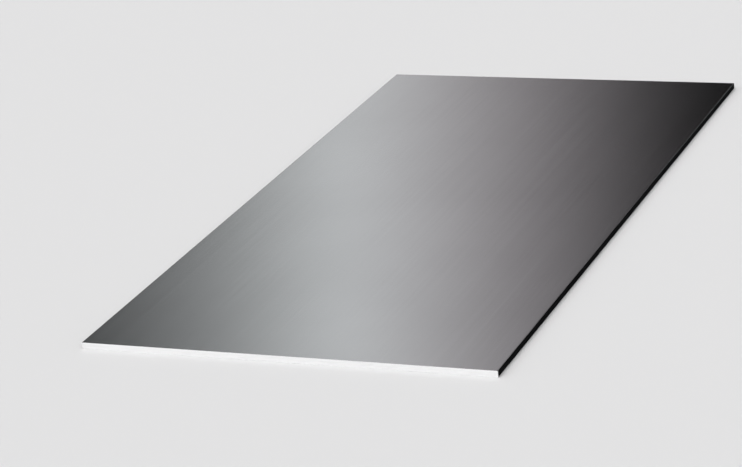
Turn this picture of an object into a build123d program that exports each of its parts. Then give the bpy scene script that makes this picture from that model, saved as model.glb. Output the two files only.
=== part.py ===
"""Flat rectangular steel plate, lying on its broad face.

It is one piece of hot-rolled stock. Its long sides are the edges that the mill rolled, slightly rounded,
and its two short ends are sheared to length, with the sharp arris taken off all the way round.
The frame has X across the plate, Y along its rolling direction and Z up, with the origin under its middle.
"""

import os

from build123d import *

# Driving dimensions, in millimetres
plate_width = 1000.0
plate_length = 2000.0
plate_thickness = 15.0
mill_edge_radius = 1.5
sheared_arris_radius = 0.5

# The plate: its rolled section, run along the rolling direction and cut square at both ends
with BuildPart() as plate:
    with BuildSketch(Plane.XZ) as rolled_section:
        with Locations((0, plate_thickness / 2)):
            RectangleRounded(plate_width, plate_thickness, mill_edge_radius)
    extrude(amount=plate_length / 2, both=True)

    across_the_ends = plate.faces().filter_by(Axis.Y)
    fillet(across_the_ends.edges(), radius=sheared_arris_radius)

plate.part.label = "plate"

os.makedirs("parts", exist_ok=True)
export_step(plate.part, "parts/plate.step")
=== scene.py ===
"""One hot-rolled steel plate, modelled, finished and set on the pale floor of a plain studio.

Lengths are in metres and angles in radians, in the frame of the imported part: X runs across the plate,
Y along its rolling direction and Z up, and the origin lies under the plate's middle, on the floor.
"""

import math

import bmesh
import bpy
from bpy.props import FloatProperty, FloatVectorProperty, IntProperty, PointerProperty
from bpy.types import Operator, Panel, PropertyGroup
from mathutils import Matrix, Vector


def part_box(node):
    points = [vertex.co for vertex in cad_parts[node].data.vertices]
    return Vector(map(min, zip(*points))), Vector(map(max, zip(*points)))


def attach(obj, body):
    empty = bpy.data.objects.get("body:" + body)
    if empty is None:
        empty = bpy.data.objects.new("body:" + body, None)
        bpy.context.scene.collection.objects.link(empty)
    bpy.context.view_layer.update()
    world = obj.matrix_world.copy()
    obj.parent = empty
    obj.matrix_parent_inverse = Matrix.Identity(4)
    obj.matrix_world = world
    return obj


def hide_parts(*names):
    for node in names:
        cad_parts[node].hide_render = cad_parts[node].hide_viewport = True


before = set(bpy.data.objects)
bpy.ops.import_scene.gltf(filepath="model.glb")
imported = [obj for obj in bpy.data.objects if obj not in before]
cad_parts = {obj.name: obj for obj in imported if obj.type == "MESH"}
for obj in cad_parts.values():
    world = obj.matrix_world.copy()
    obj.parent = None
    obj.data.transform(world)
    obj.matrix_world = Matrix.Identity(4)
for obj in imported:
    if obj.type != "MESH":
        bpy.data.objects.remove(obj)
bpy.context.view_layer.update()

bl_info = {
    "name": "Steel Plate",
    "version": (1, 0, 0),
    "blender": (4, 5, 0),
    "location": "View3D > Sidebar > Steel Plate",
    "description": "Models a rolled steel plate, finishes its faces and edges and sets up a studio for it",
    "category": "Object",
}

PLATE_NODE = "plate"
PLATE_BODY = "root"
PLATE_LOW, PLATE_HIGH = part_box(PLATE_NODE)

# Numbers of the axes across the plate, along it and up
ACROSS, ALONG, UP = 0, 1, 2
# An edge runs along an axis when its direction has at least this much of it
ALIGNED = 0.999
# A face whose normal has less than this much of the length's axis isn't part of an end
FACES_END = 0.5
# A point this close to a plane counts as on it
NEAR = 0.00005
# Profile of a bevel that is an arc of a circle
ROUND = 0.5
# Weight of the largest face at a corner when shading is evened, at the top of its range
LARGEST_FACE_WEIGHT = 100

# Sides of the round floor, and faces across its bend into the backdrop
FLOOR_SIDES = 128
SWEEP_SEGMENTS = 10
# Faces of the floor that meet at less than this are shaded smooth
SMOOTH_UP_TO = math.radians(30.0)
# How far the camera sees, in floor radii
CAMERA_REACH = 4
WHITE = (1.0, 1.0, 1.0)

# Noise goes from 0 to 1 about its middle and keeps mostly between low and high
NOISE_LOW, NOISE_MIDDLE, NOISE_HIGH = 0.3, 0.5, 0.7
# Octaves of the grain and of the patches, and how strong the finer ones of the grain are
GRAIN_DETAIL, GRAIN_FINENESS = 5.0, 0.6
PATCH_DETAIL = 2.0
# Grain above this is the clear metal between the scratches of an end
SCRATCH_EDGE = 0.48
# Gloss of the dry scale, nearly none
SCALE_GLOSS = 0.01


class PlateForm(PropertyGroup):
    """Sizes of the plate and of the small departures from flat and straight that rolling leaves."""

    width: FloatProperty(
        name="Width", description="Across the rolling direction", unit="LENGTH",
        default=PLATE_HIGH.x - PLATE_LOW.x,
    )
    length: FloatProperty(
        name="Length", description="Along the rolling direction", unit="LENGTH",
        default=PLATE_HIGH.y - PLATE_LOW.y,
    )
    thickness: FloatProperty(
        name="Thickness", description="Through the plate", unit="LENGTH",
        default=PLATE_HIGH.z - PLATE_LOW.z,
    )
    mill_edge_radius: FloatProperty(
        name="Mill Edge Radius", description="Rounding of the long edges", unit="LENGTH", default=0.0015,
    )
    mill_edge_segments: IntProperty(
        name="Mill Edge Segments", description="Faces round each rounding of a long edge", default=6,
    )
    end_arris_radius: FloatProperty(
        name="End Arris Radius", description="Rounding round the dressed ends", unit="LENGTH", default=0.0005,
    )
    end_arris_segments: IntProperty(
        name="End Arris Segments", description="Faces across the rounding of an end", default=3,
    )
    cell: FloatProperty(
        name="Cell", description="Side of the faces on the broad sides", unit="LENGTH", default=0.05,
    )
    support: FloatProperty(
        name="Support", description="From an edge to the line of faces that holds it crisp", unit="LENGTH",
        default=0.004,
    )
    wave_height: FloatProperty(
        name="Wave Height", description="How far the broad faces depart from flat", unit="LENGTH",
        default=0.0002,
    )
    wave_length: FloatProperty(
        name="Wave Length", description="From one wave of the broad faces to the next", unit="LENGTH",
        default=0.7,
    )
    edge_wander: FloatProperty(
        name="Edge Wander", description="How far the long edges depart from straight", unit="LENGTH",
        default=0.0005,
    )
    edge_wander_length: FloatProperty(
        name="Edge Wander Length", description="From one bow of a long edge to the next", unit="LENGTH",
        default=0.3,
    )


class PlateFinish(PropertyGroup):
    """Colours, grain and wear of the plate's three surfaces, with painted shade in the long edges' scale and
    painted light in the ends' bright steel.
    """

    face_colour: FloatVectorProperty(
        name="Rolled Face", description="Bare steel of the broad faces", subtype="COLOR", size=3,
        default=(0.272, 0.280, 0.284),
    )
    face_tone_spread: FloatProperty(
        name="Face Tone Spread", description="Share by which grain and patches lighten and darken the steel",
        subtype="FACTOR", min=0.0, max=1.0, default=0.08,
    )
    face_roughness: FloatVectorProperty(
        name="Face Roughness", description="Smoothest and roughest grain of the broad faces", size=2,
        default=(0.138, 0.164),
    )
    face_lines: FloatVectorProperty(
        name="Face Lines", description="Grain lines of the broad faces per metre, along each axis", size=3,
        default=(110.0, 1.2, 110.0),
    )
    face_patches: FloatProperty(
        name="Face Patches", description="Lighter and darker patches of the broad faces per metre",
        default=2.4,
    )
    face_grain_height: FloatProperty(
        name="Face Grain Height", description="How far the grain of the broad faces stands up", unit="LENGTH",
        default=0.00001,
    )
    # Near black: real mill scale is dark, and the rest of the darkness is painted shade, so that the long
    # edges render black as if turned from the light
    scale_and_painted_shade_colour: FloatVectorProperty(
        name="Mill Scale And Painted Shade", description="Black scale on the rolled long edges", subtype="COLOR", size=3,
        default=(0.002, 0.002, 0.0022),
    )
    scale_line_colour: FloatVectorProperty(
        name="Scale Lines", description="Lines that rolling leaves in the scale", subtype="COLOR", size=3,
        default=(0.018, 0.018, 0.019),
    )
    scale_roughness: FloatVectorProperty(
        name="Scale Roughness", description="Smoothest and roughest grain of the scale", size=2,
        default=(0.6, 0.8),
    )
    scale_lines: FloatVectorProperty(
        name="Scale Grain", description="Grain lines of the scale per metre, along each axis", size=3,
        default=(700.0, 14.0, 600.0),
    )
    scale_grain_height: FloatProperty(
        name="Scale Grain Height", description="How far the grain of the scale stands up", unit="LENGTH",
        default=0.00006,
    )
    worn_depth: FloatProperty(
        name="Worn Depth", description="How far down from a broad face the scale is rubbed off",
        unit="LENGTH", default=0.00015,
    )
    worn_roughness: FloatProperty(
        name="Worn Roughness", description="Roughness of the steel where the scale is rubbed off",
        subtype="FACTOR", min=0.0, max=1.0, default=0.25,
    )
    # Near white: sheared steel is bright, and the rest of the brightness, beyond what bare steel reflects, is
    # painted light, so that the ends render white as if lit from the front
    end_and_painted_light_colour: FloatVectorProperty(
        name="Dressed End And Painted Light", description="Bright steel of the sheared and dressed ends", subtype="COLOR",
        size=3, default=(0.985, 0.985, 0.986),
    )
    end_scratch_share: FloatProperty(
        name="End Scratches", description="Brightness of a scratch as a share of the end's colour",
        subtype="FACTOR", min=0.0, max=1.0, default=0.9,
    )
    end_roughness: FloatVectorProperty(
        name="End Roughness", description="Smoothest and roughest grain of the ends", size=2,
        default=(0.64, 0.76),
    )
    end_lines: FloatVectorProperty(
        name="End Lines", description="Scratches of the ends per metre, along each axis", size=3,
        default=(14.0, 1100.0, 1100.0),
    )
    end_grain_height: FloatProperty(
        name="End Grain Height", description="How far the grain of the ends stands up", unit="LENGTH",
        default=0.00002,
    )


class StudioSettings(PropertyGroup):
    """Where the camera stands, and the floor and light round the plate."""

    camera_azimuth: FloatProperty(
        name="Camera Azimuth", description="Round the plate from its front end", subtype="ANGLE",
        default=math.radians(23.45),
    )
    camera_elevation: FloatProperty(
        name="Camera Elevation", description="Above the floor", subtype="ANGLE", default=math.radians(20.14),
    )
    camera_roll: FloatProperty(
        name="Camera Roll", description="Turn of the picture about the line of sight", subtype="ANGLE",
        default=math.radians(-5.65),
    )
    camera_aim: FloatVectorProperty(
        name="Camera Aim", description="Point of the top face in the middle of the picture",
        subtype="TRANSLATION", size=2, default=(-0.088, -0.2475),
    )
    camera_distance: FloatProperty(
        name="Camera Distance", description="From the aim to the camera", unit="LENGTH", default=6.747,
    )
    focal_length: FloatProperty(
        name="Focal Length", description="Of the lens, in millimetres", unit="CAMERA", default=133.94,
    )
    floor_colour: FloatVectorProperty(
        name="Floor", description="Floor and backdrop", subtype="COLOR", size=3, default=(0.76, 0.76, 0.76),
    )
    floor_radius: FloatProperty(
        name="Floor Radius", description="From the plate to the backdrop", unit="LENGTH", default=30.0,
    )
    backdrop_height: FloatProperty(
        name="Backdrop Height", description="Of the low wall round the floor", unit="LENGTH", default=4.5,
    )
    backdrop_sweep: FloatProperty(
        name="Backdrop Sweep", description="Over which the floor bends up into the wall", unit="LENGTH",
        default=3.15,
    )
    key_azimuth: FloatProperty(
        name="Key Azimuth", description="Where the key lamp stands, round the plate from its front end",
        subtype="ANGLE", default=math.radians(-28.0),
    )
    key_elevation: FloatProperty(
        name="Key Elevation", description="Height of the key lamp above the floor", subtype="ANGLE",
        default=math.radians(42.0),
    )
    key_spread: FloatProperty(
        name="Key Spread", description="How large the key lamp looks from the plate", subtype="ANGLE",
        default=math.radians(60.0),
    )
    key_strength: FloatProperty(
        name="Key Strength", description="Light of the key lamp on a face turned to it", default=0.65,
    )
    strip_heading: FloatProperty(
        name="Strip Heading", description="Of the first light strip, clockwise from the rolling direction",
        subtype="ANGLE", default=math.radians(-22.08),
    )
    strip_spacing: FloatProperty(
        name="Strip Spacing", description="From one light strip to the next", subtype="ANGLE",
        default=math.radians(22.5),
    )
    strip_left_reach: FloatProperty(
        name="Strip Left Reach", description="From a strip's brightest line to its dark left side",
        subtype="ANGLE", default=math.radians(11.25),
    )
    strip_left_falloff: FloatProperty(
        name="Strip Left Falloff", description="Power of the fall to dark on the left side", default=3.12,
    )
    strip_right_reach: FloatProperty(
        name="Strip Right Reach", description="From a strip's brightest line to its dark right side",
        subtype="ANGLE", default=math.radians(8.05),
    )
    strip_right_falloff: FloatProperty(
        name="Strip Right Falloff", description="Power of the fall to dark on the right side", default=1.45,
    )
    strip_left_colour: FloatVectorProperty(
        name="Strip Left", description="Light of a strip's middle and left side", subtype="COLOR", size=3,
        default=(0.920, 0.935, 0.940),
    )
    strip_right_colour: FloatVectorProperty(
        name="Strip Right", description="Light of a strip's right side", subtype="COLOR", size=3,
        default=(1.0, 0.922, 0.958),
    )
    strip_strength: FloatProperty(
        name="Strip Strength", description="Brightness of a strip's middle, high up", default=1.99,
    )
    strip_foot_share: FloatProperty(
        name="Strip Foot", description="Share of that brightness at the horizon", subtype="FACTOR",
        min=0.0, max=1.0, default=0.30,
    )
    strip_full_elevation: FloatProperty(
        name="Strip Full Elevation", description="Above which a strip has its whole brightness",
        subtype="ANGLE", default=math.radians(28.5),
    )
    front_level: FloatProperty(
        name="Front Level", description="Share of a strip's brightness that light round the key is evened to",
        subtype="FACTOR", min=0.0, max=1.0, default=0.73,
    )
    front_evenness: FloatProperty(
        name="Front Evenness", description="How far the strips round the key pass into that even level",
        subtype="FACTOR", min=0.0, max=1.0, default=0.75,
    )
    overhead_start: FloatProperty(
        name="Overhead Start", description="Where the strips begin to pass into the overhead light",
        subtype="ANGLE", default=math.radians(46.0),
    )
    overhead_full: FloatProperty(
        name="Overhead Full", description="Above which there is only the overhead light", subtype="ANGLE",
        default=math.radians(66.0),
    )
    overhead_strength: FloatProperty(
        name="Overhead Strength", description="Brightness of the overhead light", default=1.35,
    )


def select_edges(test):
    """Selects those edges of the mesh in edit mode that pass the test."""
    mesh = bpy.context.edit_object.data
    bpy.ops.mesh.select_mode(type="EDGE")
    bpy.ops.mesh.select_all(action="DESELECT")
    shape = bmesh.from_edit_mesh(mesh)
    for edge in shape.edges:
        edge.select_set(test(edge))
    bmesh.update_edit_mesh(mesh)


def select_faces(test):
    """Selects those faces of the mesh in edit mode that pass the test."""
    mesh = bpy.context.edit_object.data
    bpy.ops.mesh.select_mode(type="FACE")
    bpy.ops.mesh.select_all(action="DESELECT")
    shape = bmesh.from_edit_mesh(mesh)
    for face in shape.faces:
        face.select_set(test(face))
    bmesh.update_edit_mesh(mesh)


def runs_along(edge, axis):
    """Whether an edge runs along one axis, given by its number."""
    run = (edge.verts[1].co - edge.verts[0].co).normalized()
    return abs(run[axis]) > ALIGNED


def standing_at(azimuth, elevation):
    """Unit vector from the plate to what stands at an azimuth round it and an elevation above it."""
    return Vector((
        math.sin(azimuth) * math.cos(elevation),
        -math.cos(azimuth) * math.cos(elevation),
        math.sin(elevation),
    ))


def opaque(colour):
    """A colour with the alpha that colour sockets take."""
    return (*colour, 1.0)


def scaled(colour, share):
    """A colour made lighter or darker by one factor."""
    return [part * share for part in colour]


class NodeMaker:
    """Adds nodes to one tree. What a call is given is either a socket to link or a value to set."""

    def __init__(self, tree):
        self.tree = tree

    def add(self, kind, **settings):
        """A new node with its settings."""
        node = self.tree.nodes.new(kind)
        for name, value in settings.items():
            setattr(node, name, value)
        return node

    def give(self, target, value):
        """Gives a socket its link or its value."""
        if isinstance(value, bpy.types.NodeSocket):
            self.tree.links.new(value, target)
        else:
            target.default_value = value

    def maths(self, operation, *values):
        """What an operation makes of its values."""
        node = self.add("ShaderNodeMath", operation=operation)
        for target, value in zip(node.inputs, values):
            self.give(target, value)
        return node.outputs["Value"]

    def ramp(self, value, start, stop, low=0.0, high=1.0, interpolation="LINEAR"):
        """Goes from low to high, and no further, as the value goes from start to stop."""
        node = self.add("ShaderNodeMapRange", interpolation_type=interpolation)
        names = ("Value", "From Min", "From Max", "To Min", "To Max")
        for name, given in zip(names, (value, start, stop, low, high)):
            self.give(node.inputs[name], given)
        return node.outputs["Result"]

    def blend(self, share, first, second):
        """The first colour where the share is 0, the second where it is 1."""
        node = self.add("ShaderNodeMix", data_type="RGBA")
        self.give(node.inputs["Factor"], share)
        colours = [socket for socket in node.inputs if socket.type == "RGBA"]
        for target, value in zip(colours, (first, second)):
            self.give(target, value)
        return next(socket for socket in node.outputs if socket.type == "RGBA")

    def split(self, vector):
        """The X, Y and Z of a vector."""
        node = self.add("ShaderNodeSeparateXYZ")
        self.give(node.inputs["Vector"], vector)
        return node.outputs["X"], node.outputs["Y"], node.outputs["Z"]

    def noise(self, place, scale, detail):
        """A noise texture, for its output or for more settings."""
        node = self.add("ShaderNodeTexNoise")
        for name, value in (("Vector", place), ("Scale", scale), ("Detail", detail)):
            self.give(node.inputs[name], value)
        return node


class STEELPLATE_OT_model_plate(Operator):
    """Models the plate with its rounded mill edges and dressed ends, and gives each surface its finish, with
    painted shade on the long edges and painted light on the ends
    """

    bl_idname = "steel_plate.model_plate"
    bl_label = "Model Plate"

    def execute(self, context):
        form = context.scene.plate_form
        finish = context.scene.plate_finish
        plate = self.cut_blank(form)
        self.round_edges(form)
        self.assign_finishes(plate, form, finish)
        bpy.ops.object.mode_set(mode="OBJECT")
        self.roll_unevenly(plate, form)
        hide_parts(PLATE_NODE)
        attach(plate, PLATE_BODY)
        return {"FINISHED"}

    def cut_blank(self, form):
        """A blank of the plate's size, its broad faces cut into even cells, left in edit mode."""
        bpy.ops.object.select_all(action="DESELECT")
        bpy.ops.mesh.primitive_cube_add(size=1.0, location=(0.0, 0.0, form.thickness / 2))
        plate = bpy.context.object
        plate.name = plate.data.name = "steel_plate"
        plate.scale = (form.width, form.length, form.thickness)
        bpy.ops.object.transform_apply(location=True, rotation=False, scale=True)
        bpy.ops.object.mode_set(mode="EDIT")
        for axis, span in ((ACROSS, form.width), (ALONG, form.length)):
            select_edges(lambda edge: runs_along(edge, axis))
            bpy.ops.mesh.subdivide(number_cuts=round(span / form.cell) - 1)
        return plate

    def round_edges(self, form):
        """Rounds the long edges and the outline of both ends, and adds lines that hold the edges crisp."""
        half_width, half_length = form.width / 2, form.length / 2

        def is_long_corner(edge):
            middle = (edge.verts[0].co + edge.verts[1].co) / 2
            at_side = abs(abs(middle.x) - half_width) < NEAR
            at_face = min(abs(middle.z), abs(middle.z - form.thickness)) < NEAR
            return runs_along(edge, ALONG) and at_side and at_face

        select_edges(is_long_corner)
        bpy.ops.mesh.bevel(
            offset=form.mill_edge_radius, segments=form.mill_edge_segments, profile=ROUND, affect="EDGES",
        )

        def is_end_outline(edge):
            at_end = all(abs(abs(vert.co.y) - half_length) < NEAR for vert in edge.verts)
            return at_end and any(abs(face.normal.y) < FACES_END for face in edge.link_faces)

        select_edges(is_end_outline)
        bpy.ops.mesh.bevel(
            offset=form.end_arris_radius, segments=form.end_arris_segments, profile=ROUND, affect="EDGES",
        )

        for normal, reach in ((Vector((1, 0, 0)), half_width), (Vector((0, 1, 0)), half_length)):
            for side in (-1, 1):
                bpy.ops.mesh.select_all(action="SELECT")
                bpy.ops.mesh.bisect(plane_co=normal * side * (reach - form.support), plane_no=normal)

    def assign_finishes(self, plate, form, finish):
        """Rolled steel on the broad faces, scale darkened as painted shade on the long edges and bright steel
        lightened as painted light on the ends.
        """
        side = form.width / 2 - form.mill_edge_radius
        end = form.length / 2 - form.end_arris_radius
        surfaces = (
            (rolled_face_material(finish), lambda face: True),
            (scale_and_painted_shade_material(finish, form), lambda face: abs(face.calc_center_median().x) > side),
            (end_and_painted_light_material(finish), lambda face: abs(face.calc_center_median().y) > end),
        )
        for index, (material, belongs) in enumerate(surfaces):
            bpy.ops.object.material_slot_add()
            plate.material_slots[index].material = material
            plate.active_material_index = index
            select_faces(belongs)
            bpy.ops.object.material_slot_assign()

    def roll_unevenly(self, plate, form):
        """Lets the broad faces and long edges wander a little, as rolling does, and evens the shading."""
        rim = plate.vertex_groups.new(name="mill_edges")
        edge_start = form.width / 2 - (form.mill_edge_radius + form.support) / 2
        rim.add([v.index for v in plate.data.vertices if abs(v.co.x) > edge_start], 1.0, "REPLACE")
        wanders = (
            ("Waves", "Z", form.wave_height, form.wave_length, ""),
            ("Edge wander", "X", form.edge_wander, form.edge_wander_length, rim.name),
        )
        for name, direction, height, size, group in wanders:
            clouds = bpy.data.textures.new(name, type="CLOUDS")
            clouds.noise_scale = size
            clouds.noise_depth = 0
            wander = plate.modifiers.new(name, "DISPLACE")
            wander.texture = clouds
            wander.texture_coords = "LOCAL"
            wander.direction = direction
            wander.strength = height
            wander.vertex_group = group
            bpy.ops.object.modifier_apply(modifier=name)
        bpy.ops.object.shade_smooth()
        even = plate.modifiers.new("Even shading", "WEIGHTED_NORMAL")
        even.weight = LARGEST_FACE_WEIGHT
        bpy.ops.object.modifier_apply(modifier=even.name)


def metal_grain_group():
    """Grain drawn out along one way of the surface."""
    name = "Metal Grain"
    if name in bpy.data.node_groups:
        return bpy.data.node_groups[name]
    group = bpy.data.node_groups.new(name, "ShaderNodeTree")
    for socket in ("Place", "Lines Per Metre"):
        group.interface.new_socket(socket, in_out="INPUT", socket_type="NodeSocketVector")
    group.interface.new_socket("Grain", in_out="OUTPUT", socket_type="NodeSocketFloat")
    make = NodeMaker(group)
    given = make.add("NodeGroupInput").outputs
    found = make.add("NodeGroupOutput").inputs
    stretch = make.add("ShaderNodeVectorMath", operation="MULTIPLY")
    make.give(stretch.inputs[0], given["Place"])
    make.give(stretch.inputs[1], given["Lines Per Metre"])
    lines = make.noise(stretch.outputs["Vector"], 1.0, GRAIN_DETAIL)
    make.give(lines.inputs["Roughness"], GRAIN_FINENESS)
    make.give(found["Grain"], lines.outputs["Fac"])
    return group


class MetalSurface:
    """A new material with its shader, its place on the plate and its grain, for a finish to link up."""

    def __init__(self, name, lines):
        self.material = bpy.data.materials.new(name)
        self.material.use_nodes = True
        self.make = NodeMaker(self.material.node_tree)
        self.shader = self.material.node_tree.nodes["Principled BSDF"].inputs
        self.place = self.make.add("ShaderNodeTexCoord").outputs["Object"]
        grain = self.make.add("ShaderNodeGroup", node_tree=metal_grain_group())
        self.make.give(grain.inputs["Place"], self.place)
        self.make.give(grain.inputs["Lines Per Metre"], lines)
        self.grain = grain.outputs["Grain"]

    def spread(self, noise, low, high):
        """Goes from low to high over the part of its range that the noise mostly keeps to."""
        return self.make.ramp(noise, NOISE_LOW, NOISE_HIGH, low, high)

    def raise_grain(self, height):
        """Lets the grain stand up from the surface by a height in metres."""
        bump = self.make.add("ShaderNodeBump")
        self.make.give(bump.inputs["Strength"], 1.0)
        self.make.give(bump.inputs["Distance"], height)
        self.make.give(bump.inputs["Height"], self.grain)
        self.make.give(self.shader["Normal"], bump.outputs["Normal"])


def rolled_face_material(finish):
    """Smooth bare steel with faint grain along the rolling direction and slow patches."""
    steel = MetalSurface("rolled_face", finish.face_lines)
    make = steel.make
    patch = make.noise(steel.place, finish.face_patches, PATCH_DETAIL).outputs["Fac"]
    mean = make.maths("DIVIDE", make.maths("ADD", steel.grain, patch), 2.0)
    dark = opaque(scaled(finish.face_colour, 1 - finish.face_tone_spread))
    light = opaque(scaled(finish.face_colour, 1 + finish.face_tone_spread))
    make.give(steel.shader["Metallic"], 1.0)
    make.give(steel.shader["Base Color"], make.blend(steel.spread(mean, 0.0, 1.0), dark, light))
    make.give(steel.shader["Roughness"], steel.spread(steel.grain, *finish.face_roughness))
    steel.raise_grain(finish.face_grain_height)
    return steel.material


def scale_and_painted_shade_material(finish, form):
    """Dry black scale, darkened further as painted shade, on the edges that the mill rolled, rubbed down to
    bare steel along their corners.
    """
    scale = MetalSurface("mill_scale_and_painted_shade", finish.scale_lines)
    make = scale.make
    height = make.split(scale.place)[UP]
    from_middle = make.maths("ABSOLUTE", make.maths("SUBTRACT", height, form.thickness / 2))
    # The line down to which the scale is rubbed off wanders by up to the worn depth and fades over as much
    off_middle = make.maths("SUBTRACT", scale.grain, NOISE_MIDDLE)
    ragged = make.maths("MULTIPLY", off_middle, 2 * finish.worn_depth)
    worn_line = form.thickness / 2 - finish.worn_depth
    fade = finish.worn_depth / 2
    worn = make.ramp(make.maths("ADD", from_middle, ragged), worn_line - fade, worn_line + fade)
    lined = make.ramp(scale.grain, NOISE_MIDDLE, NOISE_HIGH)
    # Painted shade: the scale colour is darker than real scale, so that the long edges render near black
    black = make.blend(lined, opaque(finish.scale_and_painted_shade_colour), opaque(finish.scale_line_colour))
    rough = scale.spread(scale.grain, *finish.scale_roughness)
    make.give(scale.shader["Base Color"], make.blend(worn, black, opaque(finish.face_colour)))
    make.give(scale.shader["Metallic"], worn)
    make.give(scale.shader["Roughness"], make.ramp(worn, 0.0, 1.0, rough, finish.worn_roughness))
    make.give(scale.shader["Specular IOR Level"], SCALE_GLOSS)
    scale.raise_grain(finish.scale_grain_height)
    return scale.material


def end_and_painted_light_material(finish):
    """Bright steel, lightened to near white as painted light, with the fine lines of the dressing along the
    end.
    """
    end = MetalSurface("dressed_end_and_painted_light", finish.end_lines)
    make = end.make
    scratched = opaque(scaled(finish.end_and_painted_light_colour, finish.end_scratch_share))
    clear = make.ramp(end.grain, NOISE_LOW, SCRATCH_EDGE)
    make.give(end.shader["Metallic"], 1.0)
    # Painted light: the end colour is brighter than bare steel, so that the ends render near white
    make.give(end.shader["Base Color"], make.blend(clear, scratched, opaque(finish.end_and_painted_light_colour)))
    make.give(end.shader["Roughness"], end.spread(end.grain, *finish.end_roughness))
    end.raise_grain(finish.end_grain_height)
    return end.material


class STEELPLATE_OT_set_studio(Operator):
    """Lays the floor with its low backdrop, hangs the light and sets up the camera"""

    bl_idname = "steel_plate.set_studio"
    bl_label = "Set Studio"

    def execute(self, context):
        studio = context.scene.plate_studio
        self.lay_floor(studio, -context.scene.plate_form.wave_height / 2)
        self.hang_key(studio)
        self.light_world(context.scene, studio)
        self.set_camera(context.scene, studio)
        context.scene.view_settings.view_transform = "Standard"
        return {"FINISHED"}

    def lay_floor(self, studio, height):
        """A round floor that sweeps up into a low wall, just under the lowest waves of the plate."""
        bpy.ops.object.select_all(action="DESELECT")
        bpy.ops.mesh.primitive_circle_add(
            vertices=FLOOR_SIDES, radius=studio.floor_radius, fill_type="NGON", location=(0.0, 0.0, height),
        )
        floor = bpy.context.object
        floor.name = floor.data.name = "studio_floor"
        bpy.ops.object.mode_set(mode="EDIT")
        select_edges(lambda edge: edge.is_boundary)
        bpy.ops.mesh.extrude_edges_move(TRANSFORM_OT_translate={"value": (0.0, 0.0, studio.backdrop_height)})
        select_edges(lambda edge: not edge.is_boundary and not runs_along(edge, UP))
        bpy.ops.mesh.bevel(
            offset=studio.backdrop_sweep, segments=SWEEP_SEGMENTS, profile=ROUND, affect="EDGES",
        )
        bpy.ops.object.mode_set(mode="OBJECT")
        bpy.ops.object.shade_smooth_by_angle(angle=SMOOTH_UP_TO)
        paint = bpy.data.materials.new("studio_floor")
        paint.use_nodes = True
        shader = paint.node_tree.nodes["Principled BSDF"].inputs
        shader["Base Color"].default_value = opaque(studio.floor_colour)
        shader["Roughness"].default_value = 1.0
        shader["Specular IOR Level"].default_value = 0.0
        bpy.ops.object.material_slot_add()
        floor.material_slots[0].material = paint

    def hang_key(self, studio):
        """A far and very broad lamp in front of the plate, which lights the floor and the front end."""
        towards_lamp = standing_at(studio.key_azimuth, studio.key_elevation)
        turn = (-towards_lamp).to_track_quat("-Z", "Y").to_euler()
        bpy.ops.object.light_add(type="SUN", location=towards_lamp, rotation=turn)
        lamp = bpy.context.object
        lamp.name = lamp.data.name = "key_lamp"
        lamp.data.energy = studio.key_strength
        lamp.data.angle = studio.key_spread

    def light_world(self, scene, studio):
        """Soft light strips all round the plate, evened out round the key, under an even overhead light."""
        world = bpy.data.worlds.new("studio_light")
        scene.world = world
        world.use_nodes = True
        make = NodeMaker(world.node_tree)
        look = make.add("ShaderNodeTexCoord").outputs["Generated"]
        off_strip, up = self.find_strip(make, look, studio)
        evenness = self.even_front(make, look, studio)
        strength = self.strip_light(make, off_strip, up, evenness, studio)
        tint = self.strip_tint(make, off_strip, evenness, studio)
        overhead = make.ramp(
            up, math.sin(studio.overhead_start), math.sin(studio.overhead_full), interpolation="SMOOTHSTEP",
        )
        background = world.node_tree.nodes["Background"].inputs
        make.give(background["Color"], make.blend(overhead, tint, opaque(WHITE)))
        make.give(background["Strength"], make.ramp(overhead, 0.0, 1.0, strength, studio.overhead_strength))

    def find_strip(self, make, look, studio):
        """The angle from the nearest strip's brightest line to a direction, and how far up it points.

        The strips lean by the camera's roll, so that they stand upright in the picture.
        """
        lean = make.add("ShaderNodeVectorRotate", rotation_type="AXIS_ANGLE")
        make.give(lean.inputs["Vector"], look)
        make.give(lean.inputs["Axis"], -standing_at(studio.camera_azimuth, 0.0))
        make.give(lean.inputs["Angle"], -studio.camera_roll)
        across, along, up = make.split(lean.outputs["Vector"])
        heading = make.maths("ARCTAN2", across, along)
        off_first = make.maths("SUBTRACT", heading, studio.strip_heading)
        half_spacing = studio.strip_spacing / 2
        return make.maths("WRAP", off_first, half_spacing, -half_spacing), up

    def even_front(self, make, look, studio):
        """How far the strips in a direction pass into an even level, most of all round the key lamp."""
        facing_key = make.add("ShaderNodeVectorMath", operation="DOT_PRODUCT")
        make.give(facing_key.inputs[0], look)
        make.give(facing_key.inputs[1], standing_at(studio.key_azimuth, 0.0))
        within_key = math.cos(studio.key_spread / 2)
        return make.ramp(
            facing_key.outputs["Value"], 0.0, within_key, 0.0, studio.front_evenness, "SMOOTHSTEP",
        )

    def strip_light(self, make, off_strip, up, evenness, studio):
        """Brightness of the strips, which falls off to both sides and towards the horizon."""
        left = make.ramp(off_strip, -studio.strip_left_reach, 0.0)
        right = make.ramp(off_strip, studio.strip_right_reach, 0.0)
        share = make.maths(
            "MULTIPLY",
            make.maths("POWER", left, studio.strip_left_falloff),
            make.maths("POWER", right, studio.strip_right_falloff),
        )
        evened = make.ramp(evenness, 0.0, 1.0, share, studio.front_level)
        top = studio.strip_strength
        foot = top * studio.strip_foot_share
        rise = make.ramp(up, 0.0, math.sin(studio.strip_full_elevation), foot, top)
        return make.maths("MULTIPLY", evened, rise)

    def strip_tint(self, make, off_strip, evenness, studio):
        """Colour of the strips, which changes over the right side and not where they are evened out."""
        right_share = make.ramp(off_strip, 0.0, studio.strip_right_reach / 2)
        uneven = make.maths("SUBTRACT", 1.0, evenness)
        return make.blend(
            make.maths("MULTIPLY", right_share, uneven),
            opaque(studio.strip_left_colour), opaque(studio.strip_right_colour),
        )

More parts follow.
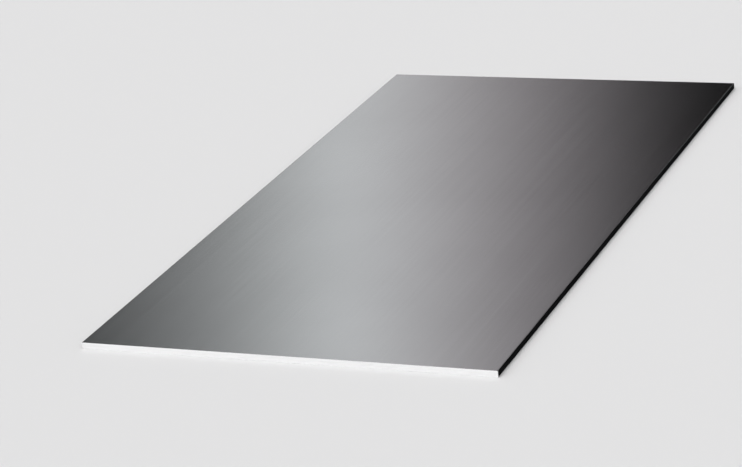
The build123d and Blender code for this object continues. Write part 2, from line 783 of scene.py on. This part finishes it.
    def set_camera(self, scene, studio):
        """A long lens at the picture's viewing angle."""
        back = standing_at(studio.camera_azimuth, studio.camera_elevation)
        aim = Vector((*studio.camera_aim, PLATE_HIGH.z))
        right = Vector((0, 0, 1)).cross(back).normalized()
        upright = Matrix((right, back.cross(right), back)).transposed()
        turn = upright @ Matrix.Rotation(studio.camera_roll, 3, "Z")
        bpy.ops.object.camera_add(location=aim + back * studio.camera_distance, rotation=turn.to_euler())
        camera = bpy.context.object
        camera.name = "picture_camera"
        camera.data.sensor_fit = "HORIZONTAL"
        camera.data.lens = studio.focal_length
        camera.data.clip_end = CAMERA_REACH * studio.floor_radius
        scene.camera = camera


class STEELPLATE_PT_panel(Panel):
    """Sizes, colours and steps of the steel plate"""

    bl_label = "Steel Plate"
    bl_idname = "STEELPLATE_PT_panel"
    bl_space_type = "VIEW_3D"
    bl_region_type = "UI"
    bl_category = "Steel Plate"

    def draw(self, context):
        layout = self.layout
        for operator, settings in (
            (STEELPLATE_OT_model_plate, (context.scene.plate_form, context.scene.plate_finish)),
            (STEELPLATE_OT_set_studio, (context.scene.plate_studio,)),
        ):
            box = layout.box()
            box.operator(operator.bl_idname)
            for group in settings:
                for name in group.__annotations__:
                    box.prop(group, name)


CLASSES = (
    PlateForm,
    PlateFinish,
    StudioSettings,
    STEELPLATE_OT_model_plate,
    STEELPLATE_OT_set_studio,
    STEELPLATE_PT_panel,
)


def register():
    for cls in CLASSES:
        bpy.utils.register_class(cls)
    bpy.types.Scene.plate_form = PointerProperty(type=PlateForm)
    bpy.types.Scene.plate_finish = PointerProperty(type=PlateFinish)
    bpy.types.Scene.plate_studio = PointerProperty(type=StudioSettings)


def unregister():
    del bpy.types.Scene.plate_studio
    del bpy.types.Scene.plate_finish
    del bpy.types.Scene.plate_form
    for cls in reversed(CLASSES):
        bpy.utils.unregister_class(cls)


def main():
    """Runs each step in order."""
    register()
    bpy.ops.steel_plate.model_plate()
    bpy.ops.steel_plate.set_studio()


if __name__ == "__main__":
    main()
